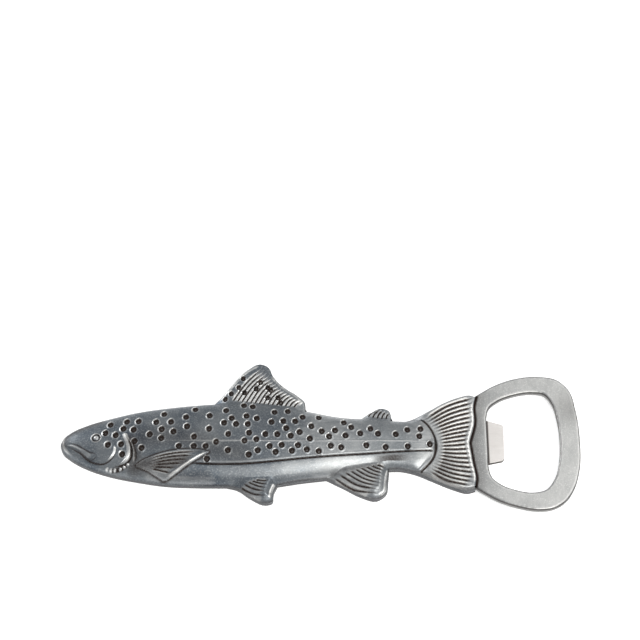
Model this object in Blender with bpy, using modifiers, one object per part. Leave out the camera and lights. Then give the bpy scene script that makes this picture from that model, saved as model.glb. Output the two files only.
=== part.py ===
"""Souvenir bottle opener: a flat steel opener plate in a handle shaped like a trout.

The handle is a hollow relief casting, front_shell, closed from behind by a flat back_cover. The
tang of opener_plate lies between the two, held by two blind rivets. The thin lifting_tab, which
catches under the rim of the crown cap, is riveted beneath the plate where the opening starts.

Lengths are in millimetres and become metres only where a mesh or curve is made. X runs from the
nose (-X) to the loop (+X), +Y is the fish's back, and +Z is the relief side, facing up. Outlines
are given from the fish's own long axis, which lies AXIS_Y from the centre of the whole object.
"""
import math

import bmesh
import bpy
import numpy as np

MM = 0.001

# Driving sizes.
HALF_LENGTH = 88.0
FIN_TIP_Y = 31.1
LOOP_LOW_Y = -24.5
AXIS_Y = -(FIN_TIP_Y + LOOP_LOW_Y) / 2
GAP = 0.3                       # left between pieces that touch on the real object

# Heights of the layers above the surface that the opener lies on.
COVER_THICKNESS = 1.5
PLATE_BOTTOM = COVER_THICKNESS + GAP
PLATE_THICKNESS = 2.2
PLATE_TOP = PLATE_BOTTOM + PLATE_THICKNESS
SKIN_BOTTOM = PLATE_TOP + GAP   # underside of the casting above the plate
FIN_TOP = 5.0
EDGE_HEIGHT = 3.2               # where the body's side turns into its rounded back
WALL = 1.9
TAB_BOTTOM = 0.3
TAB_TOP = COVER_THICKNESS

CURVE_STEPS = 4                 # outline points between two given ones
ARCH_STEPS = 20
BODY_STATIONS = 56
ROUND_STEPS = 32

# The fish's outline, stretch by stretch clockwise. Neighbouring stretches meet in a corner.
HEAD = [(-31.5, -14.9), (-42.0, -14.8), (-52.0, -14.3), (-62.0, -12.7), (-72.0, -10.4),
        (-79.0, -7.8), (-84.5, -4.6), (-87.3, -2.0), (-HALF_LENGTH, 0.1), (-87.3, 2.1),
        (-84.6, 4.8), (-79.0, 7.6), (-71.5, 10.1), (-62.0, 12.6), (-50.0, 14.5), (-36.5, 15.7)]
DORSAL_FIN = [(-36.5, 15.7), (-33.0, 19.2), (-29.0, 24.6), (-25.0, 28.9), (-20.8, FIN_TIP_Y),
              (-18.0, 30.0), (-16.2, 26.2), (-12.3, 21.8), (-7.6, 18.4), (-5.3, 16.0), (-5.0, 13.1)]
SADDLE = [(-5.0, 13.1), (0.0, 12.0), (6.0, 10.8), (12.5, 10.2)]
ADIPOSE_FIN = [(12.5, 10.2), (16.4, 12.0), (20.5, 13.6), (23.4, 12.6), (24.3, 9.6)]
TAIL_TOP = [(24.3, 9.6), (28.0, 9.3), (31.5, 10.0), (36.0, 12.0), (42.0, 15.6), (47.5, 18.0),
            (51.5, 18.9), (53.5, 18.2)]
FORK_UPPER = [(53.5, 18.2), (52.6, 14.4), (52.7, 8.6), (50.7, 0.4)]
FORK_LOWER = [(50.7, 0.4), (51.6, -7.1), (52.4, -14.0), (52.0, -16.2)]
TAIL_BELOW = [(52.0, -16.2), (49.5, -16.9), (44.5, -15.5), (38.0, -12.6), (32.0, -9.9),
              (27.0, -8.7), (23.3, -8.7)]
ANAL_FIN = [(23.3, -8.7), (22.9, -13.0), (22.2, -17.4), (18.8, -19.8), (14.0, -18.6),
            (8.0, -15.3), (2.0, -12.1)]
BELLY = [(2.0, -12.1), (-6.0, -13.1), (-14.3, -14.5)]
PELVIC_FIN = [(-14.3, -14.5), (-15.6, -17.5), (-16.0, -20.6), (-18.3, -21.3), (-23.0, -19.3),
              (-28.0, -15.8), (-31.5, -14.9)]
FISH_OUTLINE = (HEAD, DORSAL_FIN, SADDLE, ADIPOSE_FIN, TAIL_TOP, FORK_UPPER, FORK_LOWER,
                TAIL_BELOW, ANAL_FIN, BELLY, PELVIC_FIN)

# Each fin of the casting runs into the body, closed by these points inside it.
FIN_ROOTS = (("dorsal_fin", (DORSAL_FIN,), [(-8.0, 8.0), (-30.0, 9.0)]),
             ("adipose_fin", (ADIPOSE_FIN,), [(22.0, 5.0), (15.0, 5.0)]),
             ("anal_fin", (ANAL_FIN,), [(6.0, -6.0), (21.0, -5.0)]),
             ("pelvic_fin", (PELVIC_FIN,), [(-28.0, -9.0), (-17.0, -9.0)]),
             ("tail_fin", (TAIL_TOP[1:], FORK_UPPER, FORK_LOWER, TAIL_BELOW[:-1]), [(24.0, 0.3)]))

# The body without its fins: its back and belly edges and the height of its ridge, nose to tail.
BODY_END = 39.0
BODY_BACK = [(-HALF_LENGTH, 0.1), (-87.3, 2.1), (-84.6, 4.8), (-79.0, 7.6), (-71.5, 10.1),
             (-62.0, 12.6), (-50.0, 14.5), (-36.5, 15.7), (-26.0, 15.6), (-15.0, 14.5),
             (-5.0, 13.1), (6.0, 10.8), (17.0, 9.9), (28.0, 9.2), (33.5, 9.1), (36.6, 7.4),
             (38.4, 4.2), (BODY_END, 0.5)]
BODY_BELLY = [(-HALF_LENGTH, 0.0), (-87.3, -2.0), (-84.5, -4.6), (-79.0, -7.8), (-72.0, -10.4),
              (-62.0, -12.7), (-52.0, -14.3), (-42.0, -14.8), (-31.5, -14.9), (-14.3, -14.5),
              (2.0, -12.1), (12.0, -10.3), (23.3, -8.7), (28.0, -8.8), (33.0, -9.6),
              (36.6, -7.4), (38.4, -3.8), (BODY_END, 0.0)]
RIDGE = [(-HALF_LENGTH, 3.4), (-87.0, 4.4), (-84.0, 5.4), (-78.0, 6.6), (-68.0, 7.7),
         (-52.0, 8.4), (-32.0, 8.6), (-10.0, 8.2), (10.0, 7.4), (25.0, 6.6), (BODY_END, 5.7)]

# The plate: its loop, the neck that enters the tail, and the tang with its round end.
LOOP_TOP = [(53.6, 18.9), (60.0, 22.9), (67.0, 25.5), (75.5, 26.4), (81.5, 25.1), (85.3, 21.2),
            (87.3, 13.0), (HALF_LENGTH, 1.0), (87.3, -9.0), (85.0, -16.6), (82.0, -21.1),
            (77.8, -23.8), (73.0, LOOP_LOW_Y), (66.5, -23.5), (60.0, -21.3), (52.6, -16.8)]
NECK_BELOW = [(52.6, -16.8), (51.0, -15.2), (44.3, -13.0), (38.0, -9.9), (32.0, -6.8), (26.0, -6.0)]
TANG_END = [(26.0, -6.0), (-18.0, -4.6), (-21.4, -2.9), (-22.6, 0.4), (-21.4, 3.7), (-18.0, 5.4),
            (26.0, 6.8)]
NECK_ABOVE = [(26.0, 6.8), (32.0, 7.7), (38.0, 11.1), (44.0, 14.3), (51.0, 17.0), (53.6, 18.9)]
PLATE_OUTLINE = (LOOP_TOP, NECK_BELOW, TANG_END, NECK_ABOVE)
OPENING = [(56.6, -8.5), (57.6, -12.4), (60.8, -15.3), (65.5, -17.2), (71.5, -18.1), (75.6, -17.0),
           (78.6, -13.0), (80.5, -6.5), (81.2, 1.3), (80.7, 9.6), (79.2, 16.0), (76.8, 19.4),
           (72.6, 20.1), (65.5, 18.9), (60.9, 16.9), (57.7, 14.1), (56.7, 10.5), (56.6, 5.0),
           (56.6, -3.0)]

# The lifting tab: a stem below the plate and the lip that reaches into the opening.
TAB_OUTLINE = [(44.0, -6.2), (56.6, -6.2), (61.6, -5.1), (62.3, -4.3), (62.5, 8.0), (62.1, 8.7),
               (56.6, 10.4), (44.0, 10.4)]
TAB_MIDDLE_Y = 2.1
TAB_RIVET_X = 47.6
TAB_RIVET_SPREAD = 4.6

# Rivets: name, x, y and the height of the shank's end.
SHELL_SHANK_RADIUS = 1.5
SHELL_HEAD_RADIUS = 2.6
SHELL_HEAD = (0.1, 0.6)
TAB_SHANK_RADIUS = 1.1
TAB_HEAD_RADIUS = 1.8
TAB_HEAD = (0.35, 0.75)
BOSS_RADIUS = 3.6
SHELL_RIVETS = (("head_rivet", -64.0, 0.0, 6.0), ("tang_rivet_front", -12.0, 0.4, 6.0),
                ("tang_rivet_rear", 22.0, 0.4, 5.4))
TAB_RIVETS = (("tab_rivet_upper", TAB_RIVET_X, TAB_MIDDLE_Y + TAB_RIVET_SPREAD, PLATE_TOP - 0.1),
              ("tab_rivet_lower", TAB_RIVET_X, TAB_MIDDLE_Y - TAB_RIVET_SPREAD, PLATE_TOP - 0.1))

# Materials: base colour, roughness.
CAST_STEEL = ((0.26, 0.28, 0.31, 1.0), 0.38)
PLATE_STEEL = ((0.48, 0.49, 0.49, 1.0), 0.34)
BRIGHT_STEEL = ((0.78, 0.75, 0.73, 1.0), 0.28)
RIVET_STEEL = ((0.42, 0.43, 0.45, 1.0), 0.32)


# ---------------------------------------------------------------------------------------- scene

def empty_scene():
    """Remove every object, so that the model starts from nothing."""
    for thing in list(bpy.data.objects):
        bpy.data.objects.remove(thing, do_unlink=True)


def collection(name):
    """A new collection linked to the scene."""
    group = bpy.data.collections.new(name)
    bpy.context.scene.collection.children.link(group)
    return group


def steel(name, look):
    """A metal material with the given base colour and roughness."""
    colour, roughness = look
    material = bpy.data.materials.new(name)
    material.use_nodes = True
    shader = material.node_tree.nodes["Principled BSDF"]
    shader.inputs["Base Color"].default_value = colour
    shader.inputs["Metallic"].default_value = 1.0
    shader.inputs["Roughness"].default_value = roughness
    return material


# ------------------------------------------------------------------------------------- outlines

def smooth_through(points, steps):
    """Points along a smooth open curve through the given ones, spaced by chord length."""
    given = np.array(points, dtype=float)
    chords = np.linalg.norm(np.diff(given, axis=0), axis=1)
    knots = np.concatenate([[0.0], np.cumsum(chords)])
    slopes = np.gradient(given, knots, axis=0)
    samples = []
    for index, chord in enumerate(chords):
        for step in range(steps):
            t = step / steps
            start = (2 * t ** 3 - 3 * t ** 2 + 1) * given[index]
            leave = (t ** 3 - 2 * t ** 2 + t) * chord * slopes[index]
            end = (3 * t ** 2 - 2 * t ** 3) * given[index + 1]
            arrive = (t ** 3 - t ** 2) * chord * slopes[index + 1]
            samples.append(start + leave + end + arrive)
    samples.append(given[-1])
    return np.array(samples)


def closed_outline(stretches, steps=CURVE_STEPS):
    """The closed outline made of smooth stretches that meet in corners."""
    return np.concatenate([smooth_through(stretch, steps)[:-1] for stretch in stretches])


def closed_curve(points, steps=CURVE_STEPS):
    """A closed outline that is smooth all the way round."""
    lap = 3
    looped = list(points[-lap:]) + list(points) + list(points[:lap])
    samples = smooth_through(looped, steps)
    return samples[lap * steps:(lap + len(points)) * steps]


def grown(outline, distance):
    """The outline moved outwards by a distance."""
    following = np.roll(outline, -1, axis=0)
    twice_area = np.sum(outline[:, 0] * following[:, 1] - following[:, 0] * outline[:, 1])
    along = following - np.roll(outline, 1, axis=0)
    normals = np.stack([along[:, 1], -along[:, 0]], axis=1) * np.sign(twice_area)
    normals /= np.linalg.norm(normals, axis=1)[:, None]
    return outline + distance * normals


def edge_height(points, at):
    """The second coordinate of a smooth curve, read where the first one has the values given."""
    samples = smooth_through(points, 8)
    return np.interp(at, samples[:, 0], samples[:, 1])


# --------------------------------------------------------------------------------------- solids

def slab(name, outline, bottom, top, group):
    """A flat outline made solid between two heights."""
    curve = bpy.data.curves.new(name, "CURVE")
    curve.dimensions = "2D"
    curve.fill_mode = "BOTH"
    curve.extrude = (top - bottom) / 2 * MM
    spline = curve.splines.new("POLY")
    spline.points.add(len(outline) - 1)
    for point, (x, y) in zip(spline.points, outline):
        point.co = (x * MM, y * MM, 0.0, 1.0)
    spline.use_cyclic_u = True
    drawn = bpy.data.objects.new(name + "_outline", curve)
    drawn.location = (0.0, AXIS_Y * MM, (bottom + top) / 2 * MM)
    bpy.context.scene.collection.objects.link(drawn)
    return as_mesh(name, drawn, group)


def as_mesh(name, drawn, group):
    """Turn a curve object into a closed mesh object in the same place."""
    bpy.context.view_layer.update()
    evaluated = drawn.evaluated_get(bpy.context.evaluated_depsgraph_get())
    mesh = bpy.data.meshes.new_from_object(evaluated)
    weld = bmesh.new()
    weld.from_mesh(mesh)
    bmesh.ops.remove_doubles(weld, verts=weld.verts, dist=0.00001)
    bmesh.ops.recalc_face_normals(weld, faces=weld.faces)
    weld.to_mesh(mesh)
    weld.free()
    solid = bpy.data.objects.new(name, mesh)
    solid.matrix_world = drawn.matrix_world.copy()
    group.objects.link(solid)
    bpy.data.objects.remove(drawn, do_unlink=True)
    return solid


def block(name, bottom, top, group):
    """A box wider than the whole object, between two heights."""
    reach = HALF_LENGTH + 20.0
    corners = [(-reach, -reach), (reach, -reach), (reach, reach), (-reach, reach)]
    return slab(name, corners, bottom, top, group)


def cylinder(name, x, y, radius, bottom, top, group):
    """An upright cylinder at a place given from the fish's axis."""
    mesh = bpy.data.meshes.new(name)
    shape = bmesh.new()
    bmesh.ops.create_cone(shape, cap_ends=True, segments=ROUND_STEPS, radius1=radius * MM,
                          radius2=radius * MM, depth=(top - bottom) * MM)
    shape.to_mesh(mesh)
    shape.free()
    solid = bpy.data.objects.new(name, mesh)
    solid.location = (x * MM, (y + AXIS_Y) * MM, (bottom + top) / 2 * MM)
    group.objects.link(solid)
    return solid


def arch(low, high, foot, edge, ridge):
    """One cross-section of the body: upright sides and a rounded back, as (y, z) points."""
    middle = (low + high) / 2
    half = (high - low) / 2
    points = [(low, foot)]
    for step in range(ARCH_STEPS + 1):
        angle = math.pi * (1 - step / ARCH_STEPS)
        points.append((middle + half * math.cos(angle), edge + (ridge - edge) * math.sin(angle)))
    points.append((high, foot))
    return points


def body_loft(name, start, end, inset, foot, group):
    """The body from nose to tail, lofted through unlike sections; an inset makes its hollow."""
    turns = np.linspace(0.0, math.pi, BODY_STATIONS)
    places = start + (end - start) * (1 - np.cos(turns)) / 2
    highs = edge_height(BODY_BACK, places) - inset
    lows = edge_height(BODY_BELLY, places) + inset
    ridges = edge_height(RIDGE, places) - inset
    edge = max(EDGE_HEIGHT - inset, foot + 0.2)
    shape = bmesh.new()
    rings = []
    for place, low, high, ridge in zip(places, lows, highs, ridges):
        section = arch(low, high, foot, edge, max(ridge, edge + 0.1))
        rings.append([shape.verts.new((place * MM, (y + AXIS_Y) * MM, z * MM)) for y, z in section])
    count = len(rings[0])
    for ring, following in zip(rings, rings[1:]):
        for side in range(count):
            other = (side + 1) % count
            shape.faces.new((ring[side], ring[other], following[other], following[side]))
    shape.faces.new(rings[0])
    shape.faces.new(rings[-1])
    bmesh.ops.recalc_face_normals(shape, faces=shape.faces)
    mesh = bpy.data.meshes.new(name)
    shape.to_mesh(mesh)
    shape.free()
    solid = bpy.data.objects.new(name, mesh)
    group.objects.link(solid)
    return solid


def boolean(target, cutter, operation):
    """Join or cut the target with another solid, which becomes a hidden tool."""
    step = target.modifiers.new(operation.lower() + "_" + cutter.name, "BOOLEAN")
    step.object = cutter
    step.operation = operation
    step.solver = "EXACT"
    cutter.hide_render = True
    cutter.display_type = "WIRE"


def round_edges(target, width, segments=2):
    """Round the sharp edges of a flat piece."""
    step = target.modifiers.new("rounded_edges", "BEVEL")
    step.width = width * MM
    step.segments = segments
    step.limit_method = "ANGLE"
    step.angle_limit = math.radians(50)


# --------------------------------------------------------------------------------------- pieces

def build_front_shell(parts, cutters):
    """The hollow relief half: a body with a rounded back, and flat fins that grow out of it."""
    shell = body_loft("front_shell", -HALF_LENGTH + 0.01, BODY_END - 0.05, 0.0, 1.0, parts)
    for number, (name, stretches, root) in enumerate(FIN_ROOTS):
        outline = np.concatenate([closed_outline(stretches), [stretches[-1][-1]], root])
        boolean(shell, slab(name, outline, 0.8 - 0.1 * number, FIN_TOP, cutters), "UNION")
    boolean(shell, block("below_shell", -2.0, PLATE_BOTTOM, cutters), "DIFFERENCE")
    hollow = body_loft("body_hollow", -HALF_LENGTH + 2 * WALL, 30.0, WALL, 0.5, cutters)
    for name, x, y, _ in SHELL_RIVETS:
        boss = cylinder("boss_" + name, x, y, BOSS_RADIUS, SKIN_BOTTOM, 12.0, cutters)
        boolean(hollow, boss, "DIFFERENCE")
    boolean(shell, hollow, "DIFFERENCE")
    pocket = grown(closed_outline(PLATE_OUTLINE), GAP)
    boolean(shell, slab("plate_pocket", pocket, 0.5, SKIN_BOTTOM, cutters), "DIFFERENCE")
    for name, x, y, top in SHELL_RIVETS:
        hole = cylinder("bore_" + name, x, y, SHELL_SHANK_RADIUS + GAP, 1.0, top + GAP, cutters)
        boolean(shell, hole, "DIFFERENCE")
    return shell


def build_back_cover(parts, cutters):
    """The flat cover that closes the shell, with recesses for the rivet heads and the tab."""
    cover = slab("back_cover", closed_outline(FISH_OUTLINE), 0.0, COVER_THICKNESS, parts)
    notch = grown(np.array(TAB_OUTLINE), GAP)
    boolean(cover, slab("tab_notch", notch, -1.0, COVER_THICKNESS + 1.0, cutters), "DIFFERENCE")
    for name, x, y, _ in SHELL_RIVETS:
        bore = cylinder("hole_" + name, x, y, SHELL_SHANK_RADIUS + GAP, -1.0, 3.0, cutters)
        seat = cylinder("seat_" + name, x, y, SHELL_HEAD_RADIUS + GAP, -1.0, SHELL_HEAD[1] + GAP, cutters)
        boolean(cover, bore, "DIFFERENCE")
        boolean(cover, seat, "DIFFERENCE")
    return cover


def build_opener_plate(parts, cutters):
    """The flat plate: the loop round the opening and the tang that the handle holds."""
    plate = slab("opener_plate", closed_outline(PLATE_OUTLINE), PLATE_BOTTOM, PLATE_TOP, parts)
    opening = slab("opening", closed_curve(OPENING), 0.0, PLATE_TOP + 2.0, cutters)
    boolean(plate, opening, "DIFFERENCE")
    for name, x, y, _ in SHELL_RIVETS[1:]:
        bore = cylinder("tang_" + name, x, y, SHELL_SHANK_RADIUS + GAP, 1.0, PLATE_TOP + 1.0, cutters)
        boolean(plate, bore, "DIFFERENCE")
    for name, x, y, _ in TAB_RIVETS:
        bore = cylinder("plate_" + name, x, y, TAB_SHANK_RADIUS + GAP, 1.0, PLATE_TOP + 1.0, cutters)
        boolean(plate, bore, "DIFFERENCE")
    round_edges(plate, 0.4)
    return plate


def build_lifting_tab(parts, cutters):
    """The thin lip under the plate that catches the crown cap's rim."""
    tab = slab("lifting_tab", TAB_OUTLINE, TAB_BOTTOM, TAB_TOP, parts)
    for name, x, y, _ in TAB_RIVETS:
        bore = cylinder("tab_" + name, x, y, TAB_SHANK_RADIUS + GAP, -1.0, 3.0, cutters)
        seat = cylinder("sink_" + name, x, y, TAB_HEAD_RADIUS + GAP, -1.0, TAB_HEAD[1] + GAP, cutters)
        boolean(tab, bore, "DIFFERENCE")
        boolean(tab, seat, "DIFFERENCE")
    return tab


def build_rivet(name, x, y, shank, head, head_radius, top, parts):
    """A rivet with its flat head below, turned about its own axis."""
    bottom, shoulder = head
    chamfer = 0.3
    profile = [(0.0, top), (shank - chamfer, top), (shank, top - chamfer), (shank, shoulder),
               (head_radius, shoulder), (head_radius, bottom), (0.0, bottom)]
    mesh = bpy.data.meshes.new(name)
    edges = [(index, index + 1) for index in range(len(profile) - 1)]
    mesh.from_pydata([(radius * MM, 0.0, height * MM) for radius, height in profile], edges, [])
    rivet = bpy.data.objects.new(name, mesh)
    rivet.location = (x * MM, (y + AXIS_Y) * MM, 0.0)
    parts.objects.link(rivet)
    turn = rivet.modifiers.new("turn", "SCREW")
    turn.steps = ROUND_STEPS
    turn.render_steps = ROUND_STEPS
    turn.use_merge_vertices = True
    turn.merge_threshold = 0.00001
    turn.use_smooth_shade = True
    return rivet


def build_rivets(parts):
    """Three rivets that close the handle and two that hold the tab."""
    rivets = []
    for name, x, y, top in SHELL_RIVETS:
        rivets.append(build_rivet(name, x, y, SHELL_SHANK_RADIUS, SHELL_HEAD, SHELL_HEAD_RADIUS,
                                  top, parts))
    for name, x, y, top in TAB_RIVETS:
        rivets.append(build_rivet(name, x, y, TAB_SHANK_RADIUS, TAB_HEAD, TAB_HEAD_RADIUS,
                                  top, parts))
    return rivets


def main():
    """Build every piece, give it its material and hang it under the opener's own empty."""
    empty_scene()
    parts = collection("trout_bottle_opener")
    cutters = collection("cutters")
    cast = steel("antique_cast_steel", CAST_STEEL)
    brushed = steel("brushed_plate_steel", PLATE_STEEL)
    bright = steel("bright_tab_steel", BRIGHT_STEEL)
    rivet_steel = steel("rivet_steel", RIVET_STEEL)
    pieces = [(build_front_shell(parts, cutters), cast), (build_back_cover(parts, cutters), cast),
              (build_opener_plate(parts, cutters), brushed), (build_lifting_tab(parts, cutters), bright)]
    pieces += [(rivet, rivet_steel) for rivet in build_rivets(parts)]
    opener = bpy.data.objects.new("opener", None)
    parts.objects.link(opener)
    for piece, material in pieces:
        piece.data.materials.append(material)
        piece.parent = opener


main()
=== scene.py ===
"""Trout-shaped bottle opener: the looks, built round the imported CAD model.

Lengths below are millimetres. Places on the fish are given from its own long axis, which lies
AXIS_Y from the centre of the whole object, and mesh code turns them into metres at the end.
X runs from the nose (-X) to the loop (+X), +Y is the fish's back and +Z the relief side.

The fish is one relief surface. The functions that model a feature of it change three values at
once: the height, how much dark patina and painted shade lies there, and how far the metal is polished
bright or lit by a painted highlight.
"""
import math

import bmesh
import bpy
import numpy as np
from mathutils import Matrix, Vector


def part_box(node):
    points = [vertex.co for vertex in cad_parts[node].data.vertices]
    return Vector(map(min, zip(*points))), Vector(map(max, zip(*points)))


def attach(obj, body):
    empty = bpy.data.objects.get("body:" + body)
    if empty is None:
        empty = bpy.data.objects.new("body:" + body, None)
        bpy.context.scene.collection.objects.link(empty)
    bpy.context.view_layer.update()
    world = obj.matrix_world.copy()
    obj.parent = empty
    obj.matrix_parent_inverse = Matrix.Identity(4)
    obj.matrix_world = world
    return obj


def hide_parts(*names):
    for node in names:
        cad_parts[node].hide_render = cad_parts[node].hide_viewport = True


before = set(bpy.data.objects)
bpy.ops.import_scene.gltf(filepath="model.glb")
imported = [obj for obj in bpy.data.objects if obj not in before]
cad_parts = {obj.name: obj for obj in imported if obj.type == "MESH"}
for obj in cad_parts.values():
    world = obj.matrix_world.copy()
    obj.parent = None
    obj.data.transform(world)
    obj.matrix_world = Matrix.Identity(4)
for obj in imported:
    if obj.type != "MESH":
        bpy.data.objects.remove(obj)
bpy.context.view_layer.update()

MM = 0.001

# Driving sizes, taken from the CAD nodes.
SHELL_LOW, SHELL_HIGH = [np.array(corner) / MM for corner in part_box("front_shell")]
PLATE_LOW, PLATE_HIGH = [np.array(corner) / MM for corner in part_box("opener_plate")]
FIN_TIP_Y = 31.1
AXIS_Y = SHELL_HIGH[1] - FIN_TIP_Y
NOSE_X = SHELL_LOW[0]
SHELL_FOOT = SHELL_LOW[2]
RIDGE_TOP = SHELL_HIGH[2]
PLATE_FOOT, PLATE_TOP = PLATE_LOW[2], PLATE_HIGH[2]
GAP = 0.3
SKIN_BOTTOM = PLATE_TOP + GAP
FIN_TOP = 4.9
EDGE_HEIGHT = 2.5                # where the body's side turns into its rounded back
BELLY_EDGE_HEIGHT = 1.4
BELLY_EDGE_RISES = (12.0, 26.0)  # where along X the belly's edge comes up to EDGE_HEIGHT
WALL = 1.9
HOLLOW_END = 30.0
HOLLOW_FOOT = 0.5                # the cutters reach below the casting's foot to here
LEAST_HEIGHT = 0.5               # of the relief above the casting's foot
FIN_ROUNDING = 0.9
PLATE_ROUNDING = 0.3
TAIL_CAMBER = 0.4                # fall of the tail's rear
FIN_LEAN = (1.7, 3.2)            # fall of the lower fins towards their edges, and over what width
MERGE = 0.005                    # points of a CAD mesh closer than this are one

FISH_CELL = 0.215                # spacing of the relief's points
PLATE_CELL = 0.36
CURVE_STEPS = 6

# The fish's outline, stretch by stretch clockwise. Neighbouring stretches meet in a corner.
HEAD = [(-31.5, -14.9), (-42.0, -14.8), (-52.0, -14.3), (-62.0, -12.7), (-72.0, -10.4),
        (-79.0, -7.8), (-84.5, -4.6), (-87.3, -2.0), (-88.0, 0.1), (-87.3, 2.1),
        (-84.6, 4.8), (-79.0, 7.6), (-71.5, 10.1), (-62.0, 12.6), (-50.0, 14.5), (-36.5, 15.7)]
NOSE = HEAD.index((-88.0, 0.1))
DORSAL_FIN = [(-36.5, 15.7), (-33.0, 19.2), (-29.0, 24.6), (-25.0, 28.9), (-20.8, 31.1),
              (-18.0, 30.0), (-16.2, 26.2), (-12.3, 21.8), (-7.6, 18.4), (-5.3, 16.0), (-5.0, 13.1)]
SADDLE = [(-5.0, 13.1), (0.0, 12.0), (6.0, 10.8), (13.9, 10.1)]
ADIPOSE_FIN = [(13.9, 10.1), (17.0, 11.8), (20.7, 13.6), (23.5, 12.6), (24.3, 9.6)]
TAIL_TOP = [(24.3, 9.6), (28.0, 9.3), (31.5, 10.0), (36.0, 12.0), (42.0, 15.6), (47.5, 18.0),
            (51.5, 18.9), (53.5, 18.2)]
FORK_UPPER = [(53.5, 18.2), (52.6, 14.4), (52.7, 8.6), (50.7, 0.4)]
FORK_LOWER = [(50.7, 0.4), (51.6, -7.1), (52.4, -14.0), (52.0, -16.2)]
TAIL_BELOW = [(52.0, -16.2), (49.5, -16.9), (44.5, -15.5), (38.0, -12.6), (32.0, -9.9),
              (27.0, -8.7), (23.3, -8.7)]
ANAL_FIN = [(23.3, -8.7), (22.9, -13.0), (22.2, -17.4), (18.8, -19.8), (14.0, -18.6),
            (8.0, -15.3), (2.0, -12.1)]
BELLY = [(2.0, -12.1), (-6.0, -13.1), (-14.3, -14.5)]
PELVIC_FIN = [(-14.3, -14.5), (-15.6, -17.5), (-16.0, -20.6), (-18.3, -21.3), (-23.0, -19.3),
              (-28.0, -15.8), (-31.5, -14.9)]
FISH_OUTLINE = (HEAD, DORSAL_FIN, SADDLE, ADIPOSE_FIN, TAIL_TOP, FORK_UPPER, FORK_LOWER,
                TAIL_BELOW, ANAL_FIN, BELLY, PELVIC_FIN)

# Each fin runs into the body, closed by these points inside it, and rises to its full height
# between two places along X.
FIN_ROOTS = (((DORSAL_FIN,), [(-8.0, 8.0), (-30.0, 9.0)], (-37.5, -31.0)),
             ((ADIPOSE_FIN,), [(22.0, 5.0), (15.0, 5.0)], (12.0, 17.5)),
             ((ANAL_FIN,), [(6.0, -6.0), (21.0, -5.0)], (1.0, 9.0)),
             ((PELVIC_FIN,), [(-28.0, -9.0), (-17.0, -9.0)], (-32.0, -24.5)),
             ((TAIL_TOP[1:], FORK_UPPER, FORK_LOWER, TAIL_BELOW[:-1]), [(24.0, 0.3)], (29.0, 37.0)))

# Where along the back the body's side flows out into a fin, and how softly it starts and ends.
FINS_OF_BACK = ((-34.0, -7.0), (15.0, 23.5), (33.0, 60.0))
FLOW_START, FLOW_END = 3.0, 2.0

# The body without its fins: its back and belly edges and the height of its ridge, nose to tail.
BODY_END = 39.0
BODY_BACK = HEAD[NOSE:] + [
    (-26.0, 15.6), (-15.0, 14.5), (-5.0, 13.1), (6.0, 10.8), (17.0, 9.9), (28.0, 9.2), (33.5, 9.1),
    (36.6, 7.4), (38.4, 4.2), (BODY_END, 0.5)]
BODY_BELLY = [(-88.0, 0.0)] + HEAD[:NOSE][::-1] + [
    (-14.3, -14.5), (2.0, -12.1), (12.0, -10.3), (23.3, -8.7), (28.0, -8.8), (33.0, -9.6),
    (36.6, -7.4), (38.4, -3.8), (BODY_END, 0.0)]
RIDGE = [(-88.0, 3.4), (-87.0, 4.4), (-84.0, 5.4), (-78.0, 6.6), (-68.0, 7.7),
         (-52.0, 8.4), (-32.0, RIDGE_TOP), (-10.0, 8.2), (10.0, 7.4), (25.0, 6.6), (BODY_END, 5.7)]

# The plate: its loop, the neck that enters the tail, and the tang with its round end.
LOOP = [(53.6, 18.9), (60.0, 22.9), (67.0, 25.5), (75.5, 26.4), (81.5, 25.1), (85.3, 21.2),
        (87.3, 13.0), (88.0, 1.0), (87.3, -9.0), (85.0, -16.6), (82.0, -21.1),
        (77.8, -23.8), (73.0, -24.5), (66.5, -23.5), (60.0, -21.3), (52.6, -16.8)]
NECK_BELOW = [(52.6, -16.8), (51.0, -15.2), (44.3, -13.0), (38.0, -9.9), (32.0, -6.8), (26.0, -6.0)]
TANG_END = [(26.0, -6.0), (-18.0, -4.6), (-21.4, -2.9), (-22.6, 0.4), (-21.4, 3.7), (-18.0, 5.4),
            (26.0, 6.8)]
NECK_ABOVE = [(26.0, 6.8), (32.0, 7.7), (38.0, 11.1), (44.0, 14.3), (51.0, 17.0), (53.6, 18.9)]
PLATE_OUTLINE = (LOOP, NECK_BELOW, TANG_END, NECK_ABOVE)
OPENING = [(56.6, -8.5), (57.6, -12.4), (60.8, -15.3), (65.5, -17.2), (71.5, -18.1), (75.6, -17.0),
           (78.6, -13.0), (80.5, -6.5), (81.2, 1.3), (80.7, 9.6), (79.2, 16.0), (76.8, 19.4),
           (72.6, 20.1), (65.5, 18.9), (60.9, 16.9), (57.7, 14.1), (56.7, 10.5), (56.6, 5.0),
           (56.6, -3.0)]

# Rivets: the CAD nodes, and the places of their shanks with the height of the longer ones' ends.
RIVETS = ("head_rivet", "tang_rivet_front", "tang_rivet_rear", "tab_rivet_upper", "tab_rivet_lower")
SHELL_SHANK_RADIUS = 1.5
TAB_SHANK_RADIUS = 1.1
BOSS_RADIUS = 3.6
SHELL_RIVETS = ((-64.0, 0.0, 6.0), (-12.0, 0.4, 6.0), (22.0, 0.4, 5.4))
TAB_RIVETS = ((47.6, 6.7), (47.6, -2.5))
TAB_STARTS = 57.1 * MM           # where the tab comes out from under the plate

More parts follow.
